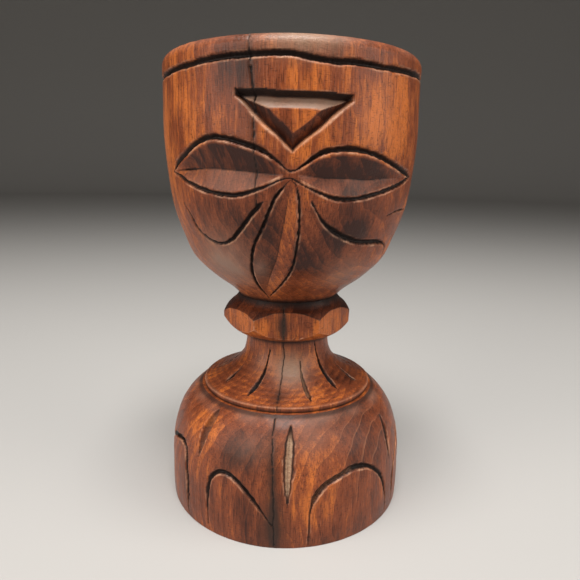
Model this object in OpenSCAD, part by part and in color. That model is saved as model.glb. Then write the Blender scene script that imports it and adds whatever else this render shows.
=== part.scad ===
// Carved wooden communion chalice, built up from turned parts on one hidden dowel.
// Millimetres. The origin is the centre of the foot's underside, +Z is up, and the carved front faces -Y.
// Every angle round the axis is counted from the front, and grows towards +X.

/* [Foot] */
// Height of the domed foot
foot_h = 48; // [42:0.5:54]
// Greatest radius of the foot
foot_r = 51; // [48:0.5:54]
// Radius of the shallow recess underneath, which leaves a flat ring to stand on
recess_r = 34; // [26:0.5:38]
// Depth of that recess
recess_depth = 3; // [2:0.5:5]
// Height of the arches carved round the foot
arch_h = 28; // [22:0.5:31]
// Length of the upright slots between the arches
slot_length = 27; // [20:0.5:30]
// Width of a slot at its middle
slot_w = 4.2; // [3:0.1:6]

/* [Stem] */
// Height of the flared stem, from the foot to the knop
stem_h = 23; // [20:0.5:28]
// Radius of the flange at the bottom of the stem
flange_r = 36.4; // [33:0.1:37]
// Height of the flange's upright lip
flange_lip = 2; // [1.5:0.1:3]
// Radius of the neck under the knop
neck_r = 17.8; // [16:0.1:19]

/* [Knop] */
// Height of the faceted knop
knop_h = 17; // [15:0.5:20]
// Radius of the knop over its corners
knop_r = 27; // [26:0.1:29]
// Number of flats cut round the knop
knop_flats = 7; // [6:1:10]

/* [Bowl] */
// Height of the bowl, from the knop to the rim
bowl_h = 92; // [84:0.5:100]
// Greatest radius of the bowl
bowl_r = 50.3; // [48:0.1:53]
// Radius of the rim's rounded outer edge
rim_round = 4; // [3:0.1:4.5]
// Radius of the cup's mouth
mouth_r = 43.5; // [41:0.1:44]
// Thickness of wood under the middle of the cup
bottom_t = 18; // [16:0.5:24]

/* [Carving] */
// Depth of the carved lines in the bowl
carve_depth = 1.6; // [1:0.1:2.5]
// Width of the carved lines in the bowl
line_w = 1.8; // [1.2:0.1:2.4]
// Depth of the groove round the rim
groove_depth = 2; // [1:0.1:2.5]
// Distance of that groove below the rim
groove_drop = 8; // [6.5:0.1:11]

/* [Dowel] */
// Radius of the hidden dowel that holds the turned parts on one axis
dowel_r = 8; // [6:0.5:9]
// How far the dowel reaches into the bottom of the bowl
socket_depth = 12; // [9:0.5:13]
// Length of the wedge that spreads the dowel's lower end
wedge_length = 14; // [10:0.5:18]

/* [Hidden] */

$fn = 96;
stem_z = foot_h;
knop_z = stem_z + stem_h;
bowl_z = knop_z + knop_h;
rim_z = bowl_z + bowl_h;
reach = 80;
glue_gap = 0.5;
round_steps = 6;
side_steps = 22;

// Side of the foot and of the bowl: share of the height, then share of the greatest radius.
foot_side = [[0, 0.993], [0.12, 1], [0.3, 0.998], [0.5, 0.99], [0.65, 0.963], [0.78, 0.92],
             [0.88, 0.861], [0.95, 0.8], [1, 0.737]];
bowl_side = [[0, 0.416], [0.04, 0.495], [0.1, 0.64], [0.18, 0.781], [0.28, 0.865], [0.4, 0.94],
             [0.55, 0.98], [0.7, 1], [0.85, 0.997], [1, 1]];

// Angles at which the slots stand round the foot. An arch fills each space between two of them.
slot_angles = [2, 59, 110, 163, 216, 267, 318];
arch_margin = 7.5;
arch_line = 1.8;
arch_start = foot_r - 11;
foot_top_start = foot_r - 18;
foot_carve_depth = 2;

// Angles of the tapered flutes round the stem.
flute_angles = [-60, -26, 17, 43, 72, 105, 138, 171, 204, 237, 268];
flute_w = 1.6;
flute_depth = 1.2;
stem_flare = 3.2;

// A smooth curve through stations: cubic pieces whose slopes are those between the neighbours.
function rise(c, i) = (c[i + 1][1] - c[i][1]) / (c[i + 1][0] - c[i][0]);
function slope(c, i) =
    i == 0 ? rise(c, 0) :
    i == len(c) - 1 ? rise(c, i - 1) :
    (c[i + 1][1] - c[i - 1][1]) / (c[i + 1][0] - c[i - 1][0]);
function cubic(c, i, w, t) =
    (2 * t ^ 3 - 3 * t ^ 2 + 1) * c[i][1] + (t ^ 3 - 2 * t ^ 2 + t) * w * slope(c, i)
    + (3 * t ^ 2 - 2 * t ^ 3) * c[i + 1][1] + (t ^ 3 - t ^ 2) * w * slope(c, i + 1);
function along(c, x, i = 0) =
    x > c[i + 1][0] && i < len(c) - 2 ? along(c, x, i + 1) :
    cubic(c, i, c[i + 1][0] - c[i][0], (x - c[i][0]) / (c[i + 1][0] - c[i][0]));

// The stem's radius falls from the flange to the neck in one concave flare.
function flare_r(share) = neck_r + (flange_r - neck_r) * (1 - share) ^ stem_flare;

// The cup's side is a superellipse, round at the bottom and nearly upright at the mouth.
cup_power = 2.5;
function cup_r(share) = mouth_r * (1 - (1 - share) ^ cup_power) ^ (1 / cup_power);

// A turned solid from a list of [radius, height] points, closed along the axis.
module turned(points) {
    rotate_extrude()
        polygon(concat([[0, points[0][1]]], points, [[0, points[len(points) - 1][1]]]));
}

// Stands an outline, drawn with its height as Y, outwards at an angle round the axis.
// It starts at a distance from the axis that keeps it clear of the outlines beside it.
module facing(angle, z, start) {
    rotate([0, 0, angle])
        translate([0, -start, z])
            rotate([90, 0, 0])
                linear_extrude(height = reach - start)
                    children();
}

// Two circles cross to make a pointed leaf. inset draws the same leaf that much smaller all round.
module leaf(length, width, inset = 0) {
    half = width / 2;
    circle_r = (length ^ 2 / 4 + half ^ 2) / (2 * half);
    intersection() {
        translate([0, circle_r - half])
            circle(r = circle_r - inset);
        translate([0, half - circle_r])
            circle(r = circle_r - inset);
    }
}

module leaf_line(length, width, line) {
    difference() {
        leaf(length, width);
        leaf(length, width, inset = line);
    }
}

// The part of a ring that lies between two directions less than half a turn apart.
module arc_line(r, line, from, to) {
    far = 2 * r;
    middle = (from + to) / 2;
    intersection() {
        difference() {
            circle(r = r + line / 2);
            circle(r = r - line / 2);
        }
        polygon([[0, 0], for (a = [from, middle, to]) far * [cos(a), sin(a)]]);
    }
}

// A round-headed arch that stands on the bottom edge.
module arch(width, height) {
    translate([0, height - width / 2])
        circle(r = width / 2);
    translate([-width / 2, -1])
        square([width, height - width / 2 + 1]);
}

module arch_outline(width, height, line) {
    difference() {
        arch(width, height);
        arch(width - 2 * line, height - line);
    }
}

module bowl_outside(inset = 0) {
    top = rim_z - rim_round;
    side_h = bowl_h - rim_round;
    top_r = bowl_r * along(bowl_side, side_h / bowl_h);
    turned(concat(
        [for (i = [0 : side_steps]) let (up = side_h * i / side_steps)
            [bowl_r * along(bowl_side, up / bowl_h) - inset, bowl_z + up]],
        [for (i = [1 : round_steps]) let (a = 90 * i / round_steps)
            [top_r - rim_round * (1 - cos(a)) - inset, top + rim_round * sin(a)]]
    ));
}

module cup() {
    floor_z = bowl_z + bottom_t;
    depth = rim_z - floor_z;
    rotate_extrude()
        polygon(concat(
            [for (i = [0 : side_steps]) let (share = (i / side_steps) ^ 2)
                [cup_r(share), floor_z + depth * share]],
            [[mouth_r, rim_z + 1], [0, rim_z + 1]]
        ));
}

module rim_groove() {
    z = rim_z - groove_drop;
    half = groove_depth * 0.6;
    rotate_extrude()
        polygon([[bowl_r - groove_depth, z], [bowl_r + 1, z + half * 1.5], [bowl_r + 1, z - half * 1.5]]);
}

// The brow: a sunk triangle, point down, with a smaller one left standing in it.
module brow() {
    difference() {
        polygon([[-17.5, 161], [19.5, 161], [0.8, 144]]);
        polygon([[-6, 156.4], [9, 156.4], [1.2, 148]]);
    }
}

// The two eye leaves, the leaning nose leaf, and the curve under each eye. The bowl has them front and back.
module face_lines() {
    eye_z = 138.6;
    side_start = 35;
    nose_start = 12;
    facing(1, 0, side_start)
        brow();
    facing(-30.5, eye_z, side_start) {
        leaf_line(50, 18, line_w);
        leaf(44, 1.2);
    }
    facing(33, eye_z - 1, side_start) {
        leaf_line(53, 16.5, line_w);
        leaf(47, 1.2);
    }
    facing(-5, 112, nose_start)
        rotate(-99)
            leaf_line(47, 15, line_w);
    facing(-33, 130, side_start)
        arc_line(17.5, line_w, 195, 350);
    facing(43, 143, side_start)
        arc_line(30, line_w, 208, 288);
}

module bowl() {
    color("#8a4526")
        difference() {
            bowl_outside();
            cup();
            rim_groove();
            difference() {
                for (turn = [0, 180])
                    rotate([0, 0, turn])
                        face_lines();
                bowl_outside(inset = carve_depth);
            }
            translate([0, 0, bowl_z - 1])
                cylinder(r = dowel_r, h = socket_depth + 1);
        }
}

// A rounded ring with flats cut round it, so that each flat is tallest at its middle.
module knop() {
    base = bowl_side[0][1] * bowl_r;
    color("#9a4c28")
        difference() {
            intersection() {
                turned([[neck_r + 0.6, knop_z], [22.2, knop_z + 1], [25.2, knop_z + 3],
                        [27.4, knop_z + 5.6], [28.2, knop_z + 8], [27.2, knop_z + 10.4],
                        [24.8, knop_z + 12.8], [22.6, knop_z + 14.6], [base, knop_z + knop_h]]);
                translate([0, 0, knop_z])
                    rotate([0, 0, -90 + 180 / knop_flats])
                        cylinder(r = knop_r, h = knop_h, $fn = knop_flats);
            }
            dowel_bore();
        }
}

module stem_outside(inset = 0) {
    flare_h = stem_h - flange_lip;
    turned(concat(
        [[flange_r - inset, stem_z]],
        [for (i = [0 : side_steps]) let (share = i / side_steps)
            [flare_r(share) - inset, stem_z + flange_lip + flare_h * share]]
    ));
}

module stem() {
    color("#94502c")
        difference() {
            stem_outside();
            difference() {
                for (a = flute_angles)
                    facing(a, stem_z + 4, neck_r - 4)
                        translate([-flute_w / 2, 0])
                            square([flute_w, stem_h / 2]);
                stem_outside(inset = flute_depth);
            }
            dowel_bore();
        }
}

module foot_outside(inset = 0) {
    turned([for (i = [0 : side_steps]) [foot_r * along(foot_side, i / side_steps) - inset,
                                        foot_h * i / side_steps]]);
}

// Arches that stand on the edge, and an upright slot in each space between two arches.
module foot_lines() {
    count = len(slot_angles);
    for (i = [0 : count - 1]) {
        here = slot_angles[i];
        next = slot_angles[(i + 1) % count] + (i == count - 1 ? 360 : 0);
        width = 2 * foot_r * sin((next - here) / 2 - arch_margin);
        facing(here, 18 + slot_length / 2, foot_top_start)
            rotate(90)
                leaf(slot_length, slot_w);
        facing((here + next) / 2, 0, arch_start)
            arch_outline(width, arch_h, arch_line);
    }
}

module foot() {
    color("#8f4723")
        difference() {
            foot_outside();
            difference() {
                foot_lines();
                foot_outside(inset = foot_carve_depth);
            }
            translate([0, 0, -1])
                cylinder(r = recess_r, h = recess_depth + 1);
            dowel_bore();
        }
}

module dowel_bore() {
    cylinder(r = dowel_r, h = bowl_z + 1);
}

// The wedge fills the kerf in the dowel's lower end, thick at the bottom and thin at the top.
module wedge_shape(r) {
    thick = 2.4;
    thin = 0.8;
    intersection() {
        translate([0, 0, recess_depth])
            cylinder(r = r, h = wedge_length);
        translate([0, reach / 2, recess_depth])
            rotate([90, 0, 0])
                linear_extrude(height = reach)
                    polygon([[-thick / 2, 0], [thick / 2, 0],
                             [thin / 2, wedge_length], [-thin / 2, wedge_length]]);
    }
}

module centre_dowel() {
    color("#c9a26b")
        difference() {
            translate([0, 0, recess_depth])
                cylinder(r = dowel_r, h = bowl_z + socket_depth - glue_gap - recess_depth);
            wedge_shape(dowel_r + 1);
        }
}

module dowel_wedge() {
    color("#7d6b4a")
        wedge_shape(dowel_r);
}

bowl();
knop();
stem();
foot();
centre_dowel();
dowel_wedge();
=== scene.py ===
"""A carved wooden chalice. Its four turned parts are cut again here as fine meshes, round the CAD frame.

Shapes are worked out in millimetres and written to the meshes in metres. Every angle round the axis is in
degrees, is 0 at the carved front and grows towards +X. A carved line is a smooth curve through a few
(angle, height) points.
"""
import math

import bpy
import numpy as np
from mathutils import Matrix, Vector


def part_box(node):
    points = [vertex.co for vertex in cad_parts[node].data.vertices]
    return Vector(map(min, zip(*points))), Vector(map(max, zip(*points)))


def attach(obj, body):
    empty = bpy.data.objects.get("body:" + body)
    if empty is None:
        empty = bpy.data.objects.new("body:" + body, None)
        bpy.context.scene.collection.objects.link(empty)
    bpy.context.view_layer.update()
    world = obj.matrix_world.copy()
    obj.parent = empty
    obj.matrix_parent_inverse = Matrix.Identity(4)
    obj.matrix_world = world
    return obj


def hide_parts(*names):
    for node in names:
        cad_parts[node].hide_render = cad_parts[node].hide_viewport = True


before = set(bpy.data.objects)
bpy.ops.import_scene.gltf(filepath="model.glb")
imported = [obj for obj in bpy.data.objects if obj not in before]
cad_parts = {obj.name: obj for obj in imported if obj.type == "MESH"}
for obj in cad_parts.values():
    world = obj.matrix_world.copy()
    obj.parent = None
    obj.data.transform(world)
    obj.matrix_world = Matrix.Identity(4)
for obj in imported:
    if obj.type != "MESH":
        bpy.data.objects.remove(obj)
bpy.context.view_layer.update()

MM = 0.001
MARKS = ("groove", "wear_and_highlight", "pale", "stain", "dust_and_sheen", "tone", "rings")


# ---------------------------------------------------------------- sizes from the frame

def node_box(node):
    """Lowest and highest corner of a CAD node, in mm."""
    low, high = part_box(node)
    return [c / MM for c in low], [c / MM for c in high]


FOOT_R = node_box("foot")[1][0]
FOOT_H = node_box("foot")[1][2]
FLANGE_R = node_box("stem")[1][0]
STEM_TOP = node_box("stem")[1][2]
KNOP_TOP = node_box("knop")[1][2]
BOWL_R = node_box("bowl")[1][0]
RIM_Z = node_box("bowl")[1][2]
BOWL_H = RIM_Z - KNOP_TOP
DOWEL_R = node_box("centre_dowel")[1][0]
DOWEL_TOP = node_box("centre_dowel")[1][2]
RECESS_Z = node_box("centre_dowel")[0][2]

# The rest of the turned shape. KNOP_R reaches the corners between the knop's flats.
RECESS_R = 34.0
FLANGE_LIP = 2.0
NECK_R = 17.8
KNOP_R = 0.537 * BOWL_R
RIM_ROUND = 4.0
MOUTH_R = 43.5
CUP_FLOOR = KNOP_TOP + 18.0
SOCKET_TOP = DOWEL_TOP + 0.5
KNOP_FLATS = 7

# Sides: share of the height, then share of the greatest radius.
FOOT_SIDE = ((0, 0.993), (0.12, 1), (0.3, 0.998), (0.5, 0.99), (0.65, 0.963), (0.78, 0.92),
             (0.88, 0.861), (0.95, 0.8), (1, 0.737))
BOWL_SIDE = ((0, 0.416), (0.04, 0.495), (0.1, 0.64), (0.18, 0.781), (0.28, 0.865), (0.4, 0.94),
             (0.55, 0.98), (0.7, 1), (0.85, 0.997), (1, 1))


# ---------------------------------------------------------------- curves

def along(stations, x):
    """A smooth curve through stations: cubic pieces whose slopes are those between the neighbours."""
    at, value = np.array(stations, float).T
    slope = np.empty(len(at))
    slope[1:-1] = (value[2:] - value[:-2]) / (at[2:] - at[:-2])
    slope[0] = (value[1] - value[0]) / (at[1] - at[0])
    slope[-1] = (value[-1] - value[-2]) / (at[-1] - at[-2])
    i = np.clip(np.searchsorted(at, x) - 1, 0, len(at) - 2)
    width = at[i + 1] - at[i]
    t = (x - at[i]) / width
    start = (2 * t**3 - 3 * t**2 + 1) * value[i] + (t**3 - 2 * t**2 + t) * width * slope[i]
    end = (3 * t**2 - 2 * t**3) * value[i + 1] + (t**3 - t**2) * width * slope[i + 1]
    return start + end


def smooth_line(points, steps=7):
    """A Catmull-Rom curve through points."""
    p = np.array(points, float)
    if len(p) == 2:
        return np.linspace(p[0], p[1], steps)
    p = np.vstack([2 * p[0] - p[1], p, 2 * p[-1] - p[-2]])
    t = np.linspace(0, 1, steps, endpoint=False)[:, None]
    pieces = []
    for a, b, c, d in zip(p[:-3], p[1:-2], p[2:-1], p[3:]):
        pieces.append(b + t * (c - a) / 2 + t**2 * (a - 2.5 * b + 2 * c - d / 2)
                      + t**3 * (1.5 * (b - c) + (d - a) / 2))
    return np.vstack(pieces + [p[-2:-1]])


def nearest(points, line):
    """Distance to a line, the share of its length there, and the side: 1 is left of the way it runs."""
    best = np.full(len(points), np.inf)
    share = np.zeros(len(points))
    side = np.ones(len(points))
    lengths = np.linalg.norm(np.diff(line, axis=0), axis=1)
    run = np.concatenate([[0], np.cumsum(lengths)])
    for k, length in enumerate(lengths):
        d = line[k + 1] - line[k]
        t = np.clip((points - line[k]) @ d / max(length**2, 1e-12), 0, 1)
        off = points - line[k] - t[:, None] * d
        distance = np.hypot(off[:, 0], off[:, 1])
        closer = distance < best
        best[closer] = distance[closer]
        share[closer] = (run[k] + t[closer] * length) / run[-1]
        side[closer] = np.where(d[0] * off[closer, 1] - d[1] * off[closer, 0] >= 0, 1, -1)
    return best, share, side


def ripple(x, y, z, length, seed, waves=14):
    """Smooth seeded noise of about -1 to 1, whose bumps are about a length across, in mm."""
    draw = np.random.default_rng(seed)
    total = 0
    for _ in range(waves):
        way = draw.normal(size=3)
        way *= math.tau / (length * draw.uniform(0.8, 1.8) * np.linalg.norm(way))
        total = total + np.sin(way[0] * x + way[1] * y + way[2] * z + draw.uniform(0, math.tau))
    return total / math.sqrt(waves / 2) / 1.6


def ramp(x, low, high):
    """0 below low, 1 above high, and smooth between."""
    t = np.clip((x - low) / (high - low), 0, 1)
    return t * t * (3 - 2 * t)


def blurred(grid, reach):
    """Box mean over a grid whose columns close into a ring."""
    across = sum(np.roll(grid, k, 1) for k in range(-reach, reach + 1)) / (2 * reach + 1)
    padded = np.pad(across, ((reach, reach), (0, 0)), "edge")
    rows = len(grid)
    return sum(padded[k:k + rows] for k in range(2 * reach + 1)) / (2 * reach + 1)


# ---------------------------------------------------------------- the side of a turned part

class Side:
    """The carved outside of a turned part: rows up its profile and columns round its axis."""

    def __init__(self, profile_r, profile_z, columns, step):
        run = np.concatenate([[0], np.cumsum(np.hypot(np.diff(profile_r), np.diff(profile_z)))])
        self.v = np.linspace(0, run[-1], int(run[-1] / step) + 2)
        self.r = np.interp(self.v, run, profile_r)
        self.z = np.interp(self.v, run, profile_z)
        rise_r, rise_z = np.gradient(self.r, self.v), np.gradient(self.z, self.v)
        size = np.hypot(rise_r, rise_z)
        self.out_r, self.out_z = rise_z / size, -rise_r / size
        self.angle = np.arange(columns) * math.tau / columns
        self.depth = np.zeros((len(self.v), columns))
        self.check = np.zeros_like(self.depth)
        self.marks = {name: np.zeros_like(self.depth) for name in MARKS}
        self.x = self.r[:, None] * np.sin(self.angle)
        self.y = -self.r[:, None] * np.cos(self.angle)
        self.zz = np.broadcast_to(self.z[:, None], self.depth.shape)

    def unrolled(self, about):
        """Each point's place along the circle and up the profile, counted from an angle."""
        turn = (self.angle - math.radians(about) + math.pi) % math.tau - math.pi
        return self.r[:, None] * turn, np.broadcast_to(self.v[:, None], self.depth.shape)

    def place(self, points, about):
        """(angle, height) points, with the angle counted from about, as unrolled points."""
        z = np.array([p[1] for p in points], float)
        angle = np.radians([p[0] - about for p in points])
        return np.stack([np.interp(z, self.z, self.r) * angle, np.interp(z, self.z, self.v)], 1)

    def near(self, line, about, reach):
        """Which points lie in a line's box, and their unrolled places."""
        u, v = self.unrolled(about)
        low, high = line.min(0) - reach, line.max(0) + reach
        here = (u > low[0]) & (u < high[0]) & (v > low[1]) & (v < high[1])
        return here, np.stack([u[here], v[here]], 1)

    def deepen(self, here, depth):
        self.depth[here] = np.maximum(self.depth[here], depth)

    def mark(self, name, here, amount):
        self.marks[name][here] = np.maximum(self.marks[name][here], amount)

    def noise(self, length, seed):
        return ripple(self.x, self.y, self.zz, length, seed)

    def hand_cut(self, amount, length, seed):
        """Takes a little off unevenly, as a hand tool does."""
        uneven = amount * (1 + self.noise(length, seed)) + 0.03 * (1 + self.noise(5, seed + 1))
        self.depth += np.clip(uneven, 0, None)

    def spot(self, name, angle, height, radius, amount, stretch=1.0):
        """Adds a soft patch of a mark. stretch makes it taller than it is wide."""
        u, v = self.unrolled(angle)
        v = (v - np.interp(height, self.z, self.v)) / stretch
        self.marks[name] += amount * np.exp(-(u**2 + v**2) / radius**2)

    def add_patches(self, patches):
        """Adds the spots of a table: for each mark, rows of spot's angle, height, radius, amount, stretch."""
        for name, rows in patches.items():
            for row in rows:
                self.spot(name, *row)


def stroke(side, points, width, depth, turn=0, lean=0.35, ends=(0.12, 0.12), leaf=False, pale=0.0,
           seed=1, rough=0.1, dark=1.0):
    """Cuts a V-shaped line. lean widens the wall on the left of the way it runs. ends are the shares of
    its length over which it thins out, and a leaf swells to its middle and thins again. rough is how
    uneven its width is, pale how much raw wood shows in its bottom, and dark how much grime and
    painted shade the rest has."""
    about = points[len(points) // 2][0]
    line = smooth_line(side.place(points, about))
    here, at = side.near(line, about + turn, 2.5 * width)
    distance, share, left = nearest(at, line)
    if leaf:
        swell = np.sin(math.pi * np.clip(share, 0.0, 1.0) ** 0.85) ** 0.8
    else:
        swell = np.clip(share / max(ends[0], 1e-6), 0.3, 1)
        swell = swell * np.clip((1 - share) / max(ends[1], 1e-6), 0.3, 1)
    beyond = (share <= 0) | (share >= 1)
    shake = ripple(at[:, 0], at[:, 1], 0, 3.5, seed) * rough
    distance = distance + 0.1 * ripple(at[:, 0], at[:, 1], 0, 1.5, seed + 7)
    half = width / 2 * swell * (1 + left * lean) * (1 + shake)
    cut = np.clip(1 - distance / np.maximum(half, 1e-3), 0, 1)
    cut = np.where(beyond, cut * 0.6, cut)
    side.deepen(here, depth * swell ** 0.8 * cut ** 0.9)
    bare = ramp(cut, 0.38, 0.62) * ramp(np.minimum(share, 1 - share), 0.03, 0.2)
    # The cut is coloured dark: grime in the groove and painted shade on its walls.
    side.mark("groove", here, dark * ramp(cut, 0.0, 0.35) * (1 - pale * bare))
    if pale:
        side.mark("pale", here, pale * bare)


def crack(side, points, width, depth, seed, gaps=0.35, soak=0.9):
    """A fine dark check that wanders and closes up in places. The wood beside it is dark as far as soak."""
    about = points[len(points) // 2][0]
    line = smooth_line(side.place(points, about), 14)
    line[:, 0] += 0.22 * ripple(line[:, 0], line[:, 1], 0, 5, seed)
    line[:, 0] += 0.1 * ripple(line[:, 0], line[:, 1], 0, 1.3, seed)
    here, at = side.near(line, about, 2.5 * soak + 1)
    distance, share, _ = nearest(at, line)
    run = share * np.linalg.norm(np.diff(line, axis=0), axis=1).sum()
    open_here = ramp(ripple(run, 0, 0, 1.8, seed + 1), -gaps - 0.5, -gaps + 0.3)
    open_here = 0.3 + 0.7 * open_here
    cut = np.clip(1 - distance / (width / 2), 0, 1) * open_here * ((share > 0) & (share < 1))
    side.check[here] = np.maximum(side.check[here], depth * cut)
    # The open check is coloured dark: grime and painted shade inside it.
    side.mark("groove", here, ramp(cut, 0.1, 0.6))
    side.mark("stain", here, 0.55 * np.exp(-(distance / soak) ** 2) * open_here ** 0.3)


# ---------------------------------------------------------------- meshes

def grid_mesh(name, radius, height, angle, marks, loop):
    """A closed mesh from rings of points. Its ends meet if loop is set, and otherwise close on the axis."""
    rows, columns = radius.shape
    x, y = radius * np.sin(angle), -radius * np.cos(angle)
    points = np.stack([x, y, height], 2).reshape(-1, 3)
    index = np.arange(rows * columns).reshape(rows, columns)
    lower = index if loop else index[:-1]
    upper = np.roll(index, -1, 0) if loop else index[1:]
    quads = np.stack([lower, np.roll(lower, -1, 1), np.roll(upper, -1, 1), upper], 2).reshape(-1, 4)
    corners, sizes = [quads.ravel()], [np.full(len(quads), 4)]
    if not loop:
        poles = np.array([[0, 0, height[0, 0]], [0, 0, height[-1, 0]]])
        first, last = len(points), len(points) + 1
        points = np.vstack([points, poles])
        bottom = np.stack([np.full(columns, first), np.roll(index[0], -1), index[0]], 1)
        top = np.stack([np.full(columns, last), index[-1], np.roll(index[-1], -1)], 1)
        corners += [bottom.ravel(), top.ravel()]
        sizes += [np.full(2 * columns, 3)]
    corners, sizes = np.concatenate(corners), np.concatenate(sizes)
    mesh = bpy.data.meshes.new(name)
    mesh.vertices.add(len(points))
    mesh.vertices.foreach_set("co", (points * MM).ravel())
    mesh.loops.add(len(corners))
    mesh.loops.foreach_set("vertex_index", corners.astype(np.int32))
    mesh.polygons.add(len(sizes))
    mesh.polygons.foreach_set("loop_start", (np.cumsum(sizes) - sizes).astype(np.int32))
    mesh.update(calc_edges=True)
    mesh.shade_smooth()
    for mark, values in marks.items():
        values = np.concatenate([values.ravel(), np.zeros(len(points) - values.size)])
        mesh.attributes.new(mark, "FLOAT", "POINT").data.foreach_set("value", values)
    piece = bpy.data.objects.new(name, mesh)
    bpy.context.scene.collection.objects.link(piece)
    return piece


def weather(side, drop, edge_height, reach=2):
    """Marks the ridges of a carved side as worn and painted highlight, most of all below a cut where the
    light from above falls, and its hollows with grime and painted shade.
    """
    plain_edge = 0.12
    relief = blurred(drop, reach) - drop
    # Ridges just below a cut face up into the light and keep their full wear and painted highlight; the
    # others get less.
    below = np.gradient(blurred(drop, reach), axis=0) > 0
    relief = np.where((relief > 0) & ~below, 0.45 * relief, relief) * plain_edge / edge_height
    patchy = 0.6 + 0.6 * side.noise(5, 31)
    side.marks["wear_and_highlight"] = np.maximum(side.marks["wear_and_highlight"], np.clip(relief / plain_edge - 0.45, 0, 1) * patchy)
    side.marks["groove"] = np.maximum(side.marks["groove"], 0.8 * np.clip(-relief / 0.4 - 0.25, 0, 1))


def turned_piece(name, side, before, after, loop, limit=None, edge_height=0.12):
    """A turned part: plain rings before its carved side, the side itself, and plain rings after it.
    An edge that stands up by edge_height is fully worn and has its full painted highlight."""
    depth = side.depth + side.check
    radius = side.r[:, None] - depth * side.out_r[:, None]
    height = side.z[:, None] - depth * side.out_z[:, None]
    drop = side.depth
    if limit is not None:
        drop = drop + np.clip(radius - limit, 0, None)
        radius = np.minimum(radius, limit - side.check)
    weather(side, drop, edge_height)
    columns = len(side.angle)
    rings = [np.tile(np.array(part, float)[:, :, None], (1, 1, columns)) for part in (before, after)]
    radius = np.vstack([rings[0][:, 0], radius, rings[1][:, 0]])
    height = np.vstack([rings[0][:, 1], height, rings[1][:, 1]])
    empty = [np.zeros((len(part), columns)) for part in (before, after)]
    marks = {mark: np.vstack([empty[0], values, empty[1]]) for mark, values in side.marks.items()}
    return grid_mesh(name, radius, height, side.angle, marks, loop)


def stretch(points, step):
    """Rings along straight stretches between (radius, height) points, no further than step apart."""
    rings = []
    for (r0, z0), (r1, z1) in zip(points[:-1], points[1:]):
        count = max(1, math.ceil(math.hypot(r1 - r0, z1 - z0) / step))
        rings += [(r0 + (r1 - r0) * k / count, z0 + (z1 - z0) * k / count) for k in range(count)]
    return rings + [points[-1]]


# ---------------------------------------------------------------- bowl

# Outlines of the two eye leaves, from left to right. Each runs on from the left leaf to the right one.
LEAF_TOP = ((-60, 137.6), (-55, 140.2), (-48, 143), (-40, 146.7), (-33, 148.4), (-26, 148.2), (-17, 146.2),
            (-10, 144), (-5, 141.3), (-1, 138.6), (1.5, 138.4), (4.5, 139.8), (8.5, 142.2), (13.5, 144.3),
            (21, 145.2), (30, 144.8), (39, 143), (49, 140.4), (57, 138.6), (66, 137.2))
LEAF_BOTTOM = ((-60, 137.6), (-54, 135.8), (-48.5, 134), (-40.5, 132), (-31, 130.4), (-22, 130.1),
               (-15, 131.4), (-8, 133.8), (-3, 135.6), (0, 136.1), (2.5, 135.2), (5.5, 133.7), (11, 131.6),
               (17, 129.7), (23, 129.1), (31, 129.6), (38, 130.9), (45, 132.2), (56, 134.6), (66, 137.2))
LEFT_MIDDLE = ((-60, 137.6), (-50, 138), (-35, 138.6), (-20, 138), (-8, 137.1), (-1.5, 137.2))
RIGHT_MIDDLE = ((3.5, 137.4), (12, 136.2), (25, 136), (35, 135.6), (50, 136.6), (66, 137.2))
# The nose leaf, from its head at the bridge down to its tip.
NOSE_LEFT = ((0, 135.4), (-2.6, 133), (-5.3, 130), (-7.7, 126), (-10, 121.4), (-14.2, 115.6),
             (-17.2, 110.8), (-19.2, 105.3), (-20.8, 99.5), (-21.2, 94.5), (-19, 89.8))
NOSE_RIGHT = ((0.6, 135.4), (2.3, 134), (3.4, 130.2), (4, 124.3), (4.1, 119.6), (3.7, 114.6), (3, 109.5),
              (1.2, 104), (-4, 98), (-12.5, 92.8), (-19, 89.8))
NOSE_MIDDLE = ((0.4, 135), (-1, 127), (-3, 118), (-4.6, 112.5), (-6.4, 107), (-10.3, 101), (-16, 94.8),
               (-19, 89.8))
LEFT_CHEEK = ((-54.5, 126.5), (-52, 124.3), (-50, 121.5), (-47.4, 117.2), (-42.3, 114.4), (-37, 113),
              (-31.5, 113.2), (-26.3, 115), (-21.8, 118.2), (-17.3, 122.2), (-13.5, 125.6), (-10.5, 128.3))
RIGHT_CHEEK = ((8.6, 128.8), (11.2, 125), (14.6, 121.3), (20, 118), (26.5, 115.7), (34.5, 113.8),
               (45.5, 113.2), (54, 112.6), (60, 111), (63.5, 107.6))
# The brow's outline from its top left, with the width of the wall along each edge.
BROW = ((-20.8, 163.5), (23.3, 162.4), (23.4, 160.3), (0.9, 143.9), (-20.9, 161.2))
BROW_WALLS = (1.7, 0.5, 0.85, 0.85, 0.5)
RIM_GROOVE = ((-200, 172), (-180, 171.6), (-150, 172.5), (-120, 171.9), (-90, 171.2), (-65, 171.3),
              (-46, 171.9), (-27, 172.8), (-13, 173.1), (-4, 173.4), (2, 173), (8, 172.1), (16, 171.5),
              (26, 171.8), (40, 171.6), (53, 172.1), (70, 172.5), (95, 171.9), (125, 172.8), (155, 172.2),
              (180, 171.6), (200, 172.2))
BOWL_CRACK = ((-16, 179.6), (-14.8, 172), (-13.9, 163), (-13.7, 154), (-13.6, 143), (-13.4, 127))
BOWL_SPLIT = ((-15, 172), (-14.2, 165), (-13.8, 158))
# Short cuts beside the face: under the right eye, at its right, and along the left leaf's middle line.
LOW_DASH = ((49, 123.4), (58, 124.6), (70, 125))
SIDE_NICK = ((84, 145), (85, 141.5), (86, 138))
LEAF_SPLIT = ((-55, 138.1), (-47, 138.2), (-40, 138.5))
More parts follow.
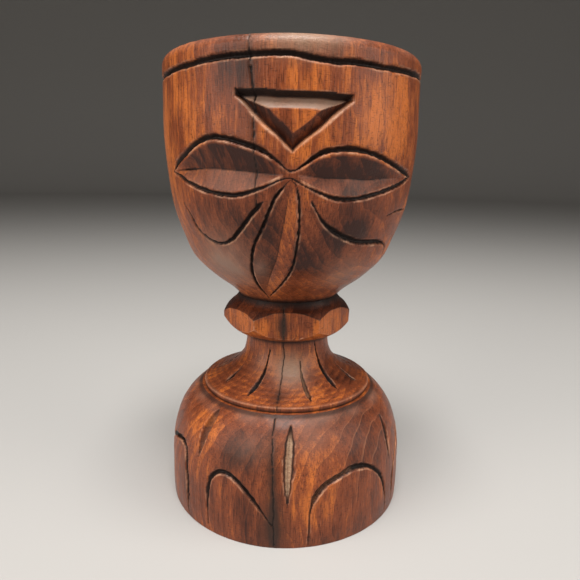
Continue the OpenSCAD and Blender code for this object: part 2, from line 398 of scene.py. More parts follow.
# A tone above 0 is warmer wood, and one below 0 is darker.
BOWL_PATCHES = {
    "tone": ((38, 154, 15, 0.85), (8, 141, 7, 0.3), (-12, 149, 6, 0.2), (3, 121, 4, 0.7),
             (-44, 162, 13, 0.3), (-28, 122, 13, -1.4), (30, 121, 13, -1.7), (10, 108, 9, -1.2),
             (-12, 118, 5, -0.7), (-40, 104, 12, 0.5), (28, 104, 8, 0.6), (5, 128, 4, 0.5),
             (-22, 168, 13, -0.55), (-68, 150, 15, 0.7), (-8, 96, 12, -0.4), (6, 166, 9, 0.3),
             (60, 124, 10, 0.2), (140, 150, 24, 0.4), (200, 120, 22, -0.5), (235, 155, 20, 0.3),
             (100, 118, 20, -0.4), (-7, 103, 5, -0.5), (-19, 171, 6, -0.6, 1.6)),
    "stain": ((-17, 171, 3.5, 0.38, 2.2), (-15, 150, 3, 0.25, 4)),
    # The dust and pale patches here are painted sheen on the rim band and the lower bowl, and painted light
    # at the far left edge.
    "dust_and_sheen": ((4, 178.6, 12, 0.75, 0.5), (-36, 104, 12, 1.3), (-15, 103, 2.5, 0.6, 1.8),
             (34, 101, 9, 0.7), (-78, 150, 10, 0.45, 2)),
    "pale": ((4, 178.6, 12, 0.45, 0.4),),
    "rings": ((-30, 104, 10, 0.6),),
}


def leaf_hollow(side, first, second, middle, depth, turn, upright, tones, clear=1.2):
    """Hollows a leaf into a valley whose bottom is its middle line. first lies above that line or, on an
    upright leaf, to the right of it. The hollow stays clear of the outline. tones are the tone of the
    half towards first, the tone of the other half, and the dust and painted sheen on that; the halves
    are painted by how they face the light, so a tone below 0 is painted shade."""
    about = middle[len(middle) // 2][0]
    first, second, middle = (smooth_line(side.place(line, about)) for line in (first, second, middle))
    run, across = (1, 0) if upright else (0, 1)
    here, at = side.near(np.vstack([first, second]), about + turn, 0.5)
    order = -1 if upright else 1
    high, low, mid = (np.interp(at[:, run], line[::order, run], line[::order, across])
                      for line in (first, second, middle))
    inside = (at[:, run] > middle[:, run].min()) & (at[:, run] < middle[:, run].max())
    above = at[:, across] > mid
    from_middle = np.where(above, (at[:, across] - mid) / np.clip(high - clear - mid, 0.3, None),
                           (mid - at[:, across]) / np.clip(mid - low - clear, 0.3, None))
    size = ramp(np.clip(high - low, 0.01, None), 2.2, 12)
    fall = np.clip(1 - np.abs(from_middle), 0, 1)
    side.deepen(here, np.where(inside, depth * size * fall ** 0.85, 0))
    # The valley's bottom line is coloured dark: grime and painted shade.
    side.mark("groove", here, np.where(inside, 0.75 * size * ramp(fall, 0.93, 1.0), 0))
    # Each half is painted by how it faces the light: a tone below 0 is painted shade, above 0 painted light,
    # and the dust on the other half a painted sheen.
    shade = inside * size * ramp(fall, 0, 0.12)
    side.marks["tone"][here] += shade * np.where(above, tones[0], tones[1])
    side.mark("dust_and_sheen", here, shade * ~above * tones[2])


def brow_pyramid(side, turn):
    """A sunk triangle, point down, with a pyramid that rises from its foot to a small flat."""
    flat_at, floor_depth, flat_depth = 4.8, 3.0, 0.4
    corners = side.place(BROW, 0)
    here, at = side.near(corners, turn, 1)
    bow = 0.22 * ripple(at[:, 0], at[:, 1], 0, 9, 5)
    inner = []
    for k, a in enumerate(corners):
        b = corners[(k + 1) % len(corners)]
        d = (b - a) / np.linalg.norm(b - a)
        inner.append(bow - (d[0] * (at[:, 1] - a[1]) - d[1] * (at[:, 0] - a[0])))
    wall = np.min([distance / width for distance, width in zip(inner, BROW_WALLS)], 0)
    slopes = [inner[k] - BROW_WALLS[k] for k in (0, 2, 3)]
    least = np.min(slopes, 0)
    rise = np.clip(least / (flat_at - BROW_WALLS[2]), 0, 1)
    depth = np.minimum(np.clip(wall, 0, 1) * floor_depth, floor_depth - (floor_depth - flat_depth) * rise)
    side.deepen(here, np.where(wall > 0, depth, 0))
    within = (wall > 0).astype(float)
    # The top wall of the sunk triangle is coloured dark as painted shadow, with grime.
    top_cut = within * (1 - ramp(slopes[0], -0.1, 0.7))
    side.mark("groove", here, top_cut)
    # Its lower walls face up into the light and are coloured pale as painted highlight.
    lower_wall = within * (1 - ramp(wall, 0.5, 0.9)) * ramp(slopes[0], 0, 1.5)
    side.mark("pale", here, 0.4 * lower_wall)
    face = within * ramp(least, 0, 0.3) * (1 - ramp(rise, 0.9, 1.0))
    top_face = slopes[0] <= least + 0.01
    # The pyramid's top face faces up and is coloured light and grey as painted sheen.
    side.mark("dust_and_sheen", here, 1.2 * face * top_face)
    side.mark("pale", here, 0.22 * face * top_face)
    # Its other faces, turned down, get painted shade in their tone; its flat is a little lighter.
    side.marks["tone"][here] += face * ~top_face * -1.75 + within * ramp(rise, 0.95, 1.0) * 0.1
    # Dark creases between the faces: grime and painted shade.
    side.mark("groove", here, 0.5 * within * np.exp(-(least / 0.3) ** 2) * ~top_face)


def carve_face(side, turn, seed):
    """The brow, the eye leaves, the nose leaf and the curves under the eyes, once about an angle."""
    lines = (
        (LEAF_TOP[:11], dict(width=2.3, depth=1.9, lean=0.5, ends=(0.06, 0.22))),
        (LEAF_TOP[9:], dict(width=2.3, depth=1.9, lean=0.5, ends=(0.2, 0.06))),
        (LEAF_BOTTOM[:11], dict(width=1.8, depth=1.5, lean=0.45, ends=(0.1, 0.35))),
        (LEAF_BOTTOM[9:], dict(width=1.85, depth=1.5, lean=0.45, ends=(0.3, 0.08))),
        (NOSE_LEFT, dict(width=1.4, depth=1.3, lean=-0.3, ends=(0.1, 0.1))),
        (NOSE_RIGHT, dict(width=1.05, depth=1.0, lean=0.3, ends=(0.1, 0.1))),
        (LEFT_CHEEK[:8], dict(width=1.45, depth=1.0, lean=0.2, ends=(0.2, 0.0))),
        (LEFT_CHEEK[6:], dict(width=1.9, depth=1.5, lean=0.35, ends=(0.12, 0.08))),
        (RIGHT_CHEEK, dict(width=2.3, depth=1.7, lean=0.45, ends=(0.3, 0.25))),
        (LOW_DASH, dict(width=1.0, depth=0.8, ends=(0.3, 0.3))),
        (SIDE_NICK, dict(width=1.8, depth=1.4, ends=(0.4, 0.4))),
        (LEAF_SPLIT, dict(width=0.8, depth=2.6, ends=(0.3, 0.3))),
    )
    leaf_hollow(side, LEAF_TOP[:10], LEAF_BOTTOM[:10], LEFT_MIDDLE, 2.5, turn, False, (-1.5, -0.05, 0.28))
    leaf_hollow(side, LEAF_TOP[10:], LEAF_BOTTOM[10:], RIGHT_MIDDLE, 2.4, turn, False, (-1.7, -0.6, 0.12))
    leaf_hollow(side, NOSE_RIGHT, NOSE_LEFT, NOSE_MIDDLE, 1.7, turn, True, (0.5, -0.45, 0), clear=0.9)
    brow_pyramid(side, turn)
    for k, (points, cut) in enumerate(lines):
        stroke(side, points, turn=turn, seed=seed + k, **cut)


def bowl_side():
    z = np.linspace(KNOP_TOP, RIM_Z - RIM_ROUND, 900)
    r = BOWL_R * along(BOWL_SIDE, (z - KNOP_TOP) / BOWL_H)
    a = np.linspace(0, math.pi / 2, 30)[1:]
    r = np.concatenate([r, r[-1] - RIM_ROUND * (1 - np.cos(a))])
    z = np.concatenate([z, RIM_Z - RIM_ROUND * (1 - np.sin(a))])
    return Side(r, z, 900, 0.34)


def cup_rings():
    """From the flat of the rim, over its inner edge and down to the middle of the cup's floor."""
    power, inner_round, steps = 2.5, 1.0, 70
    depth = RIM_Z - CUP_FLOOR
    rings = []
    for k in range(7):
        a = math.pi / 2 * k / 6
        rings.append((MOUTH_R + inner_round * (1 - math.sin(a)), RIM_Z - inner_round * (1 - math.cos(a))))
    for k in range(steps, 0, -1):
        share = (k / steps) ** 2
        r = MOUTH_R * (1 - (1 - share) ** power) ** (1 / power)
        z = CUP_FLOOR + depth * share
        if z < RIM_Z - inner_round - 0.3:
            rings.append((r, z))
    return rings + [(0.5, CUP_FLOOR)]


def bowl():
    side = bowl_side()
    stroke(side, RIM_GROOVE, width=2.4, depth=2.0, lean=0.2, ends=(0, 0), seed=70, rough=0.12)
    for turn, seed in ((0, 10), (180, 30)):
        carve_face(side, turn, seed)
    crack(side, BOWL_CRACK, 0.7, 0.45, 3, gaps=0.1)
    crack(side, BOWL_SPLIT, 0.85, 0.7, 8, gaps=0.3)
    side.hand_cut(0.12, 34, 41)
    # Painted shade, with grime, at the bowl's foot where it meets the knop.
    low = 1 - ramp(side.z, KNOP_TOP, KNOP_TOP + 2.2)
    side.mark("groove", slice(None), 0.9 * low[:, None])
    # A painted sheen, with some dust, on the rounded rim.
    rim = np.exp(-((side.z - (RIM_Z - 1.2)) / 1.6) ** 2)[:, None]
    side.mark("dust_and_sheen", slice(None), 0.3 * rim * (0.7 + 0.5 * side.noise(16, 43)))
    side.add_patches(BOWL_PATCHES)
    before = [(0.5, SOCKET_TOP)] + stretch(
        [(DOWEL_R - 0.3, SOCKET_TOP), (DOWEL_R, SOCKET_TOP - 0.3), (DOWEL_R, KNOP_TOP),
         (side.r[0] - 0.2, KNOP_TOP)], 6)
    return turned_piece("bowl_wood", side, before, cup_rings(), loop=False)


# ---------------------------------------------------------------- knop

# How each flat differs from an even one: angle, extra depth, lean outwards with height.
KNOP_CUTS = ((0.4, 0.35, 0.02), (1.5, -0.1, 0.0), (-2, -0.4, 0.03), (1, 0.1, 0.02), (-1, -0.2, 0.04),
             (2, -1.4, 0.0), (-1.5, -0.8, 0.05))
# The ring before its flats are cut: share of its height, radius.
KNOP_RING = ((0, NECK_R + 0.6), (0.06, 21.8), (0.18, 24.6), (0.33, 26.8), (0.47, 28.2), (0.58, 27.4),
             (0.75, 24.8), (0.86, 22.6), (1, BOWL_SIDE[0][1] * BOWL_R))
KNOP_CRACK = ((-3.6, 86), (-3.6, 80), (-3.9, 73))
KNOP_PATCHES = {
    "tone": ((-19, 78, 4, 0.9), (33, 78, 7, 1.1), (8, 80, 6, -0.2), (55, 79, 9, 0.7), (-48, 79, 9, 0.6)),
    "stain": ((-5, 79, 3, 0.8, 2),),
}


def knop_flats(side, middle):
    """How far out the flats let the knop reach at each point. They meet in corners, chipped low down."""
    far = 99
    flat = KNOP_R * math.cos(math.pi / KNOP_FLATS)
    limit = np.full(side.depth.shape, float(far))
    rough = side.noise(3.2, 51)
    chips = 0.5 * np.clip(rough, 0, 1) * (1 - ramp(side.z, middle - 5, middle - 2.5))[:, None]
    tool = 0.1 * (1 + side.noise(7, 52))
    for k, (aside, deeper, leaning) in enumerate(KNOP_CUTS):
        centre = math.tau * k / KNOP_FLATS + math.radians(aside)
        turn = (side.angle - centre + math.pi) % math.tau - math.pi
        apothem = flat - deeper + leaning * (side.z - middle)
        reach = np.where(np.abs(turn) < 1.2, 1 / np.maximum(np.cos(turn), 0.2), far)
        limit = np.minimum(limit, (apothem[:, None] - tool - chips) * reach)
    return limit


def knop():
    height = KNOP_TOP - STEM_TOP
    share = np.linspace(0, 1, 300)
    side = Side(along(KNOP_RING, share), STEM_TOP + height * share, KNOP_FLATS * 100, 0.24)
    middle = STEM_TOP + height * 0.44
    limit = knop_flats(side, middle)
    crack(side, KNOP_CRACK, 0.65, 0.4, 5, gaps=0.5)
    # Painted shade, with grime, where the knop meets the stem and the bowl.
    ends = 1 - ramp(side.z, STEM_TOP, STEM_TOP + 2.4) + ramp(side.z, KNOP_TOP - 3.2, KNOP_TOP)
    side.mark("groove", slice(None), 0.95 * ends[:, None])
    uncut = np.clip(1 - 12 * np.clip(side.r[:, None] - limit, 0, None), 0, 1) * (side.z > middle)[:, None]
    side.marks["tone"] -= 1.5 * uncut
    side.add_patches(KNOP_PATCHES)
    before = stretch([(DOWEL_R, STEM_TOP), (side.r[0] - 0.2, STEM_TOP)], 4)
    after = stretch([(side.r[-1] - 0.2, KNOP_TOP), (DOWEL_R, KNOP_TOP)], 4)
    return turned_piece("knop_wood", side, before, after, loop=True, limit=limit, edge_height=0.05)


# ---------------------------------------------------------------- stem

# Flutes cut down the flare: the points of each, from its thin upper end.
STEM_FLUTES = (
    ((-59, 58), (-58.5, 55), (-57.5, 52.6)),
    ((-23.5, 66.5), (-25.3, 61), (-26, 56.4), (-28.6, 51.6)),
    ((16.8, 62.5), (16.3, 58.6), (16.1, 54.8), (17.1, 51.3)),
    ((40, 69.6), (43.6, 62.3), (43.4, 56), (42.8, 52.3)),
    ((74, 58.5), (71, 54.5), (69, 51.8)),
    ((105, 62), (105, 56), (104, 52)),
    ((137, 65), (138, 57), (139, 51.8)),
    ((171, 60), (170, 55), (171, 51.8)),
    ((205, 66), (204, 57), (203, 51.9)),
    ((236, 61), (237, 55), (238, 51.8)),
    ((268, 63), (267, 56), (268, 52)),
)
LONG_FLUTE_TOP = 60
STEM_CRACK = ((-4, 70.5), (-4.6, 63), (-5.2, 56), (-5.4, 52.4), (-5.6, 50.3), (-5.6, 48.4))
STEM_PATCHES = {
    "tone": ((5, 58, 6, 0.7), (-12, 60, 7, 0.4), (25, 62, 6, 0.9), (-28, 62, 7, 0.9), (45, 60, 5, 0.2),
             (60, 54, 9, -0.6), (-70, 56, 9, -0.3), (-14, 54, 5, -0.3)),
    "stain": ((-6, 52, 3.5, 0.5),),
    # The dust and pale patches are a painted sheen at the middle of the flare and painted light on its left
    # side.
    "dust_and_sheen": ((6, 59, 7, 1.5), (-30, 61, 6, 0.4)),
    "pale": ((6, 60, 5, 0.4),),
}


def stem():
    flare_power, edge = 3.2, 0.15
    share = np.linspace(0, 1, 500)
    r = NECK_R + (FLANGE_R - NECK_R) * (1 - share) ** flare_power
    z = FOOT_H + FLANGE_LIP + (STEM_TOP - FOOT_H - FLANGE_LIP) * share
    keep = r < FLANGE_R - edge
    lip_r = [FLANGE_R - edge, FLANGE_R - 0.1, FLANGE_R, FLANGE_R, FLANGE_R - 0.1]
    lip_z = [FOOT_H, FOOT_H + 0.06, FOOT_H + edge, FOOT_H + FLANGE_LIP - edge, FOOT_H + FLANGE_LIP - 0.02]
    side = Side(np.concatenate([lip_r, r[keep]]), np.concatenate([lip_z, z[keep] + 0.02]), 640, 0.3)
    for k, points in enumerate(STEM_FLUTES):
        long = points[0][1] > LONG_FLUTE_TOP
        stroke(side, points, width=2.2 if long else 1.8, depth=1.4, lean=0.1, ends=(0.6, 0.12),
               seed=90 + k, pale=0.55 * (k % 3 == 2))
    crack(side, STEM_CRACK, 0.6, 0.35, 6)
    side.depth += np.clip(0.07 * (1 + side.noise(14, 61)), 0, None)
    waves = np.sin(side.r[:, None] * 2.6 + 1.2 * side.noise(12, 62))
    side.depth += 0.04 * (1 + waves)
    side.marks["tone"] += 0.22 * waves * ramp(side.r, 19, 22)[:, None]
    # Painted shade, with grime, at the neck under the knop and on the lower half of the flange's lip.
    neck = ramp(side.z, STEM_TOP - 2.6, STEM_TOP - 0.4)
    side.mark("groove", slice(None), 0.9 * neck[:, None])
    side.mark("groove", slice(None), 0.8 * (1 - ramp(side.z, FOOT_H + 0.4, FOOT_H + 1.7))[:, None])
    # A painted highlight, with wear, along the upper arris of the flange's lip.
    lip = np.exp(-((side.z - FOOT_H - FLANGE_LIP) / 0.28) ** 2)
    side.mark("wear_and_highlight", slice(None), 0.8 * lip[:, None] * (0.7 + 0.4 * side.noise(9, 63)))
    margin = ramp(side.r, 31, 32) * ramp(side.z, FOOT_H + 1.6, FOOT_H + 2)
    side.marks["tone"] += 0.2 * margin[:, None] - 0.1
    side.add_patches(STEM_PATCHES)
    before = stretch([(DOWEL_R, FOOT_H), (side.r[0] - 0.2, FOOT_H)], 5)
    after = stretch([(side.r[-1] - 0.2, STEM_TOP), (DOWEL_R, STEM_TOP)], 4)
    return turned_piece("stem_wood", side, before, after, loop=True)


# ---------------------------------------------------------------- foot

# Slots: angle and height of the top, then of the bottom, width, raw wood that shows, how dark the rest is.
SLOTS = ((2.7, 45.6, 1.1, 18, 4.9, 0.95, 1), (60.5, 41.5, 58, 24, 3.2, 0.1, 0.9),
         (111, 44, 110, 21, 4, 0.5, 0.9), (163, 45, 162, 20, 4.2, 0.2, 0.8), (216, 43, 217, 19, 3.8, 0.7, 1),
         (268, 44.5, 266, 22, 4, 0.1, 0.8), (318.5, 46.6, 316.5, 28.5, 4.8, 0.12, 0.62))
LEFT_ARCH = ((-35.8, 3), (-36.2, 12), (-36, 18), (-34.6, 23), (-31.5, 26.2), (-27.5, 27.2), (-23.5, 26.4),
             (-19.5, 24.2), (-15.4, 20.8), (-10.6, 15.8), (-5.2, 9.4))
RIGHT_ARCH = ((10.4, 0.5), (10.6, 8), (10.9, 15), (12.7, 20), (17, 24.3), (24, 27), (31.5, 28.6), (38, 27.9),
              (44.5, 24.6), (50, 18.8), (53.2, 11), (54.5, 2.3))
# The other arches: angle of each leg, height, and how far the top leans to the right, as a share.
PLAIN_ARCHES = ((62.5, 103, 31, 0.1), (117, 156, 28, -0.1), (170, 209, 29, 0.12), (223, 260, 28, -0.05),
                (273, 309.5, 30, 0.25))
FOOT_CRACK = ((-6, 47.2), (-6.4, 44), (-6, 37.3), (-5.5, 30), (-4.8, 19.3), (-4.1, 1))
FOOT_PATCHES = {
    "tone": ((12, 16, 9, 0.8), (8, 34, 9, 0.5), (-45, 38, 12, 0.45), (38, 16, 10, -0.2),
             (-22, 14, 9, -0.1), (45, 40, 13, -0.8), (-60, 16, 12, -0.1), (-23, 35, 9, -0.7),
             (120, 22, 16, 0.4), (190, 30, 18, -0.3), (250, 20, 16, 0.3)),
    "stain": ((-6, 30, 3.2, 0.35, 4), (-5, 8, 5.5, 0.85, 2), (-23, 35, 6, 0.55), (30, 44, 8, 0.3)),
    "rings": ((42, 36, 17, 0.9), (150, 36, 20, 0.6)),
    # The dust patches are a painted sheen, with some dust, on the dome's top.
    "dust_and_sheen": ((12, 42, 9, 0.4), (-14, 38, 6, 0.3)),
}
# A plain arch: share of its width, share of its height.
ARCH_FORM = ((0, 0.08), (0.01, 0.45), (0.06, 0.68), (0.2, 0.88), (0.38, 0.98), (0.55, 1), (0.72, 0.93),
             (0.88, 0.74), (0.97, 0.48), (1, 0.08))


def plain_arch(left, right, height, lean):
    points = []
    for across, up in ARCH_FORM:
        shifted = across + lean * math.sin(math.pi * across) * up
        points.append((left + (right - left) * shifted, height * up))
    return tuple(points)


def foot():
    share = np.linspace(0, 1, 700)
    side = Side(FOOT_R * along(FOOT_SIDE, share), FOOT_H * share, 900, 0.34)
    for k, (top_a, top_z, low_a, low_z, width, raw, dark) in enumerate(SLOTS):
        middle = ((top_a + low_a) / 2 - 0.6, (top_z + low_z) / 2)
        stroke(side, ((top_a, top_z), middle, (low_a, low_z)), width=width, depth=2.1, lean=0.05, leaf=True,
               pale=raw, dark=dark, seed=110 + k)
    stroke(side, LEFT_ARCH, width=2.1, depth=1.5, lean=0.3, ends=(0.25, 0.25), seed=120)
    stroke(side, RIGHT_ARCH[2:8], width=2.8, depth=1.7, lean=0.3, ends=(0.2, 0), seed=121, pale=0.35)
    stroke(side, RIGHT_ARCH[6:], width=2.0, depth=1.5, lean=0.3, ends=(0, 0.35), seed=122)
    stroke(side, RIGHT_ARCH[:4], width=0.8, depth=0.6, lean=0.1, ends=(0.1, 0.1), seed=123, dark=0.8)
    for k, arch in enumerate(PLAIN_ARCHES):
        stroke(side, plain_arch(*arch), width=2.4, depth=1.7, lean=0.3, ends=(0.1, 0.1), seed=130 + k,
               pale=0.3 * (k % 2))
    crack(side, FOOT_CRACK, 0.8, 0.5, 7, gaps=0.5, soak=1.9)
    side.hand_cut(0.1, 30, 71)
    side.marks["tone"] -= 0.35
    # Painted shade, with grime, on the dome's top ring under the flange.
    side.mark("groove", slice(None), 0.7 * ramp(side.z, FOOT_H - 1.5, FOOT_H - 0.5)[:, None])
    # A painted grey sheen, with some dust, on the dome's top.
    dust_and_sheen_from, dust_and_sheen_to = 43.5, 47
    top = ramp(side.z, dust_and_sheen_from, dust_and_sheen_to)[:, None]
    side.mark("dust_and_sheen", slice(None), 0.5 * top * (0.6 + 0.6 * side.noise(12, 73)))
    side.add_patches(FOOT_PATCHES)
    before = stretch([(DOWEL_R, RECESS_Z), (RECESS_R - 0.3, RECESS_Z), (RECESS_R, RECESS_Z - 0.3),
                      (RECESS_R, 0.3), (RECESS_R + 0.3, 0), (side.r[0] - 0.3, 0)], 4)
    after = stretch([(side.r[-1] - 0.3, FOOT_H), (DOWEL_R, FOOT_H)], 6)
    return turned_piece("foot_wood", side, before, after, loop=True)


# ---------------------------------------------------------------- materials

class Nodes:
    """A short hand for building a material's nodes."""

    def __init__(self, name):
        self.material = bpy.data.materials.new(name)
        self.material.use_nodes = True
        self.tree = self.material.node_tree
        self.shader = self.tree.nodes["Principled BSDF"]

    def add(self, kind, inputs=None, **settings):
        node = self.tree.nodes.new(kind)
        for key, value in settings.items():
            setattr(node, key, value)
        for key, value in (inputs or {}).items():
            self.feed(node.inputs[key], value)
        return node

    def feed(self, socket, value):
        if isinstance(value, bpy.types.NodeSocket):
            self.tree.links.new(value, socket)
        else:
            socket.default_value = value

    def math(self, operation, a, b=0.0, clamp=False):
        node = self.add("ShaderNodeMath", operation=operation, use_clamp=clamp)
        self.feed(node.inputs[0], a)
        self.feed(node.inputs[1], b)
        return node.outputs[0]

    def mix(self, share, a, b, blend="MIX"):
        node = self.add("ShaderNodeMix", data_type="RGBA", blend_type=blend)
        self.feed(node.inputs[0], share)
        self.feed(node.inputs[6], a)
        self.feed(node.inputs[7], b)
        return node.outputs[2]

    def range(self, value, low, high, to_low=0.0, to_high=1.0):
        node = self.add("ShaderNodeMapRange", {"Value": value, "From Min": low, "From Max": high,
                                               "To Min": to_low, "To Max": to_high})
        return node.outputs[0]

    def mark(self, name):
        return self.add("ShaderNodeAttribute", attribute_name=name).outputs["Fac"]

    def place(self, scale):
        """Places in mm, each axis times its scale."""
        here = self.add("ShaderNodeTexCoord").outputs["Object"]
        sizes = tuple(s / MM for s in scale)
        return self.add("ShaderNodeMapping", {"Vector": here, "Scale": sizes}).outputs[0]

    def noise(self, scale, detail=4.0, rough=0.55):
        node = self.add("ShaderNodeTexNoise", {"Vector": self.place(scale), "Scale": 1.0, "Detail": detail,
                                               "Roughness": rough})
        return node.outputs["Fac"]


def growth_rings(n, pith, spacing):
    """Rings round a pith that stands beside the turning axis, bent by slow noise. 0 to 1."""
    bend = n.add("ShaderNodeTexNoise", {"Vector": n.place((0.03, 0.03, 0.012)), "Scale": 1.0, "Detail": 3.0})
    here = n.place((1, 1, 0.02))
    moved = n.add("ShaderNodeVectorMath", {0: here, 1: (-pith[0], -pith[1], 0)}, operation="ADD").outputs[0]
    sideways = (14.0, 14.0, 0.0)
    push = n.add("ShaderNodeVectorMath", {0: bend.outputs["Color"], 1: sideways}, operation="MULTIPLY")
    bent = n.add("ShaderNodeVectorMath", {0: moved, 1: push.outputs[0]}, operation="ADD").outputs[0]
    wave = n.add("ShaderNodeTexWave", {"Vector": bent, "Scale": math.tau / 20 / spacing, "Distortion": 0.6,
                                       "Detail": 2.0, "Detail Scale": 1.5},
                 wave_type="RINGS", rings_direction="Z", wave_profile="SAW")
    return wave.outputs["Fac"]


# Colours of the stained wood, and of what lies on it. SHEEN is a painted sheen. The grime colour also paints
# shade, the worn-edge and raw-wood colours also paint highlight, and the dust colour also paints sheen.
MID_BROWN = (0.225, 0.053, 0.017, 1)
WARM_BROWN = (0.53, 0.14, 0.026, 1)
DARK_BROWN = (0.035, 0.008, 0.004, 1)
PORE = (0.03, 0.009, 0.004, 1)
FLECK = (0.035, 0.01, 0.005, 1)
SHEEN = (0.5, 0.19, 0.09, 1)
RING_LINE = (0.5, 0.22, 0.11, 1)
STAIN = (0.04, 0.016, 0.009, 1)
DUST_AND_SHEEN = (0.27, 0.165, 0.125, 1)
RAW_WOOD_AND_HIGHLIGHT = (0.46, 0.30, 0.19, 1)
WORN_EDGE_AND_HIGHLIGHT = (0.62, 0.33, 0.2, 1)
GRIME_AND_SHADE = (0.009, 0.005, 0.004, 1)


def wood_colour(n, rings, blotch, patch, streak, fine, fleck):
    """The wood's colour, from its tone, rings, grain and pores, with a painted sheen in flecks."""
    tone = n.math("ADD", n.mark("tone"), n.range(blotch, 0.3, 0.7, -0.5, 0.5))
    tone = n.math("ADD", tone, n.range(patch, 0.3, 0.7, -0.62, 0.62))
    tone = n.math("ADD", tone, n.range(rings, 0, 1, -0.3, 0.3))
    tone = n.math("ADD", tone, n.range(streak, 0.3, 0.7, -0.4, 0.4))
    colour = n.mix(n.range(tone, 0.0, 0.9), MID_BROWN, WARM_BROWN)
    colour = n.mix(n.range(tone, -0.1, -1.7), colour, DARK_BROWN)
    pores = n.range(fine, 0.55, 0.66)
    colour = n.mix(n.math("MULTIPLY", pores, 0.7), colour, PORE)
    colour = n.mix(n.math("MULTIPLY", n.range(fleck, 0.56, 0.66), 0.5), colour, FLECK)
    # A painted sheen in flecks of the grain, most of all on the lighter wood.
    sheen = n.math("MULTIPLY", n.range(fine, 0.42, 0.3), n.range(tone, -0.9, 0.1))
    colour = n.mix(n.math("MULTIPLY", sheen, 0.35), colour, SHEEN)
    ring_line = n.math("MULTIPLY", n.range(rings, 0.88, 1.0), n.math("MULTIPLY", n.mark("rings"), 0.35))
    return n.mix(ring_line, colour, RING_LINE)


def stained_wood():
    """Reddish-brown stained hardwood: rings, grain, pores, grime and painted shade in the cuts, hollows
    and joints, worn edges with painted highlight, dust with painted sheen, and raw wood that is
    painted highlight in places.
    """
    n = Nodes("stained_wood")
    rings = growth_rings(n, (-24.0, 10.0), 3.1)
    blotch = n.noise((0.045, 0.045, 0.02), 5.0, 0.6)
    patch = n.noise((0.16, 0.16, 0.07), 4.0, 0.6)
    streak = n.noise((1.1, 1.1, 0.06), 4.0, 0.6)
    fine = n.noise((3.0, 3.0, 0.25), 3.0, 0.6)
    fleck = n.noise((0.7, 0.7, 2.6), 3.0, 0.6)
    colour = wood_colour(n, rings, blotch, patch, streak, fine, fleck)
    stain = n.math("MULTIPLY", n.mark("stain"), n.range(blotch, 0.2, 0.6, 0.75, 1.1), clamp=True)
    colour = n.mix(stain, colour, STAIN)
    # This mark is dust and, in most places, painted sheen.
    dust_and_sheen = n.math("MULTIPLY", n.mark("dust_and_sheen"), n.range(patch, 0.3, 0.7, 0.5, 0.95), clamp=True)
    colour = n.mix(dust_and_sheen, colour, DUST_AND_SHEEN)
    # Raw wood; on the brow's walls and top face, the rim band and the middle of the stem's flare this mark is
    # painted highlight.
    pale = n.math("MULTIPLY", n.mark("pale"), n.range(fleck, 0.35, 0.65, 1.2, 0.5), clamp=True)
    colour = n.mix(pale, colour, RAW_WOOD_AND_HIGHLIGHT)
    # Worn edges, strongest where light falls, as painted highlight.
    wear_and_highlight = n.math("MULTIPLY", n.mark("wear_and_highlight"), n.range(streak, 0.35, 0.65, 0.4, 1.0), clamp=True)
    colour = n.mix(n.math("MULTIPLY", wear_and_highlight, 0.58), colour, WORN_EDGE_AND_HIGHLIGHT)
    # Grime, and painted shade in the cuts, hollows and joints.
    groove = n.math("MULTIPLY", n.mark("groove"), 0.97, clamp=True)
    colour = n.mix(groove, colour, GRIME_AND_SHADE)
    n.feed(n.shader.inputs["Base Color"], colour)
    gloss = n.range(patch, 0.3, 0.7, 0.3, 0.48)
    gloss = n.math("ADD", gloss, n.math("MULTIPLY", n.math("ADD", groove, dust_and_sheen), 0.3), clamp=True)
    n.feed(n.shader.inputs["Roughness"], gloss)
    n.shader.inputs["Specular IOR Level"].default_value = 0.22
    n.shader.inputs["Coat Weight"].default_value = 0.1
    n.shader.inputs["Coat Roughness"].default_value = 0.2
    height = n.math("ADD", n.math("MULTIPLY", streak, 0.6), n.math("MULTIPLY", fine, 0.6))
    height = n.math("ADD", height, n.math("MULTIPLY", fleck, -0.4))
    bump = n.add("ShaderNodeBump", {"Height": height, "Strength": 0.8, "Distance": 0.3 * MM})
    n.feed(n.shader.inputs["Normal"], bump.outputs[0])
    return n.material


def plain_wood(name, light, dark, across):
    """Bare hardwood with straight grain, for the pieces inside."""
    n = Nodes(name)
    grain = n.noise(across, 5.0, 0.65)
    colour = n.mix(n.range(grain, 0.3, 0.7), dark, light)
    n.feed(n.shader.inputs["Base Color"], colour)
    n.feed(n.shader.inputs["Roughness"], n.range(grain, 0.3, 0.7, 0.6, 0.75))
    bump = n.add("ShaderNodeBump", {"Height": grain, "Strength": 0.4, "Distance": 0.1 * MM})
    n.feed(n.shader.inputs["Normal"], bump.outputs[0])
    return n.material


def plain_colour(name, colour, roughness):
    n = Nodes(name)
    n.shader.inputs["Base Color"].default_value = colour
    n.shader.inputs["Roughness"].default_value = roughness
    return n.material


# ---------------------------------------------------------------- assembly

def dress(node, material):
    """Gives a CAD node that stays in view its material."""
    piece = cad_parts[node]
    if not piece.material_slots:
        piece.data.materials.append(material)
    for slot in piece.material_slots:
        slot.material = material


def assemble():
    wood = stained_wood()
    for make, node, slot in ((bowl, "bowl", "carved_bowl_wood"), (knop, "knop", "carved_knop_wood"),
                             (stem, "stem", "carved_stem_wood"), (foot, "foot", "carved_foot_wood")):
        piece = make()
        piece.data.materials.append(wood)
        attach(piece, "root")
        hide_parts(node)
    pale, brown = (0.6, 0.42, 0.24, 1), (0.4, 0.25, 0.13, 1)
    dress("centre_dowel", plain_wood("dowel_wood", pale, brown, (0.8, 0.8, 0.05)))
    pale, brown = (0.3, 0.19, 0.1, 1), (0.17, 0.1, 0.055, 1)
    dress("dowel_wedge", plain_wood("wedge_wood", pale, brown, (0.6, 0.6, 0.06)))


# ---------------------------------------------------------------- stage, lights and camera

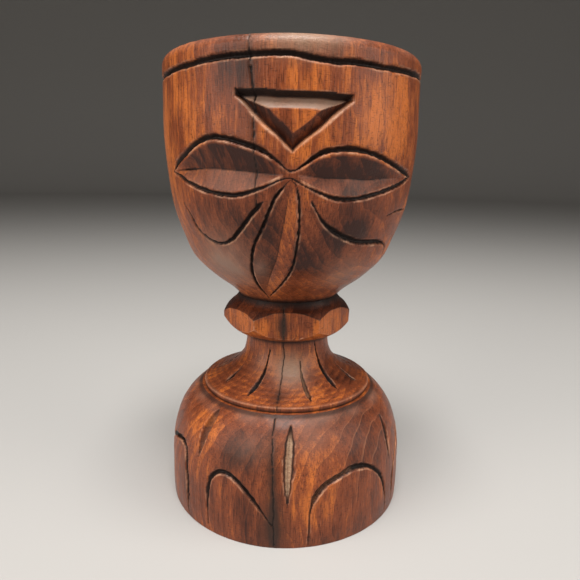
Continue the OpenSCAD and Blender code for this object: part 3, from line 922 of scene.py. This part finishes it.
def sweep():
    """A pale floor that curves up into a wall all round."""
    radius, bend, top, sides, steps = 4.0, 0.8, 2.2, 96, 12
    line = [(0.05, 0.0), (0.4, 0.0), (1.2, 0.0)]
    for k in range(steps + 1):
        a = math.pi / 2 * k / steps
        line.append((radius - bend + bend * math.sin(a), bend * (1 - math.cos(a))))
    line.append((radius, top))
    points = []
    for r, z in line:
        turns = [math.tau * k / sides for k in range(sides)]
        points += [(r * math.cos(a), r * math.sin(a), z) for a in turns]
    faces = [tuple(range(sides))]
    for row in range(len(line) - 1):
        for k in range(sides):
            a, b = row * sides + k, row * sides + (k + 1) % sides
            faces.append((a, a + sides, b + sides, b))
    mesh = bpy.data.meshes.new("floor")
    mesh.from_pydata(points, [], faces)
    mesh.shade_smooth()
    floor = bpy.data.objects.new("floor", mesh)
    floor.data.materials.append(plain_colour("floor_paint", (0.46, 0.445, 0.425, 1), 0.7))
    bpy.context.scene.collection.objects.link(floor)


def softbox(name, place, aim, size, power, colour=(1, 1, 1)):
    light = bpy.data.lights.new(name, "AREA")
    light.shape = "RECTANGLE"
    light.size, light.size_y = size
    light.energy = power
    light.color = colour
    lamp = bpy.data.objects.new(name, light)
    lamp.location = place
    way = Vector(aim) - Vector(place)
    lamp.rotation_mode = "QUATERNION"
    lamp.rotation_quaternion = way.to_track_quat("-Z", "Y")
    bpy.context.scene.collection.objects.link(lamp)


def lights():
    middle, warm = (0, 0, 0.1), (1.0, 0.95, 0.88)
    softbox("overhead", (0.0, -0.25, 1.0), middle, (0.45, 0.5), 12.5)
    softbox("key", (-0.85, -0.6, 0.5), middle, (0.8, 0.8), 8.0, warm)
    softbox("fill", (0.95, -0.35, 0.45), middle, (0.7, 0.8), 6.2, warm)
    world = bpy.data.worlds.new("studio")
    world.use_nodes = True
    background = world.node_tree.nodes["Background"]
    background.inputs["Color"].default_value = (1.0, 0.96, 0.91, 1)
    background.inputs["Strength"].default_value = 0.12
    bpy.context.scene.world = world
    bpy.context.scene.view_settings.view_transform = "Standard"


def camera():
    """Eye height and distance follow the bowl's radius, which is 1.006 of the unit they are given in."""
    unit = BOWL_R / 1.006 * MM
    distance, eye_height = 4.348 * unit, 2.746 * unit
    down, roll, aside = math.radians(12.7), math.radians(1.0), math.radians(-0.22)
    lens = bpy.data.cameras.new("camera")
    lens.sensor_width, lens.lens = 36.0, 31.82
    lens.clip_start, lens.clip_end = 0.01, 50
    eye = bpy.data.objects.new("camera", lens)
    turn = Matrix.Rotation
    eye.matrix_world = (Matrix.Translation((0, -distance, eye_height)) @ turn(aside, 4, "Z")
                        @ turn(math.pi / 2 - down, 4, "X") @ turn(roll, 4, "Z"))
    bpy.context.scene.collection.objects.link(eye)
    bpy.context.scene.camera = eye


camera()
lights()
sweep()
assemble()
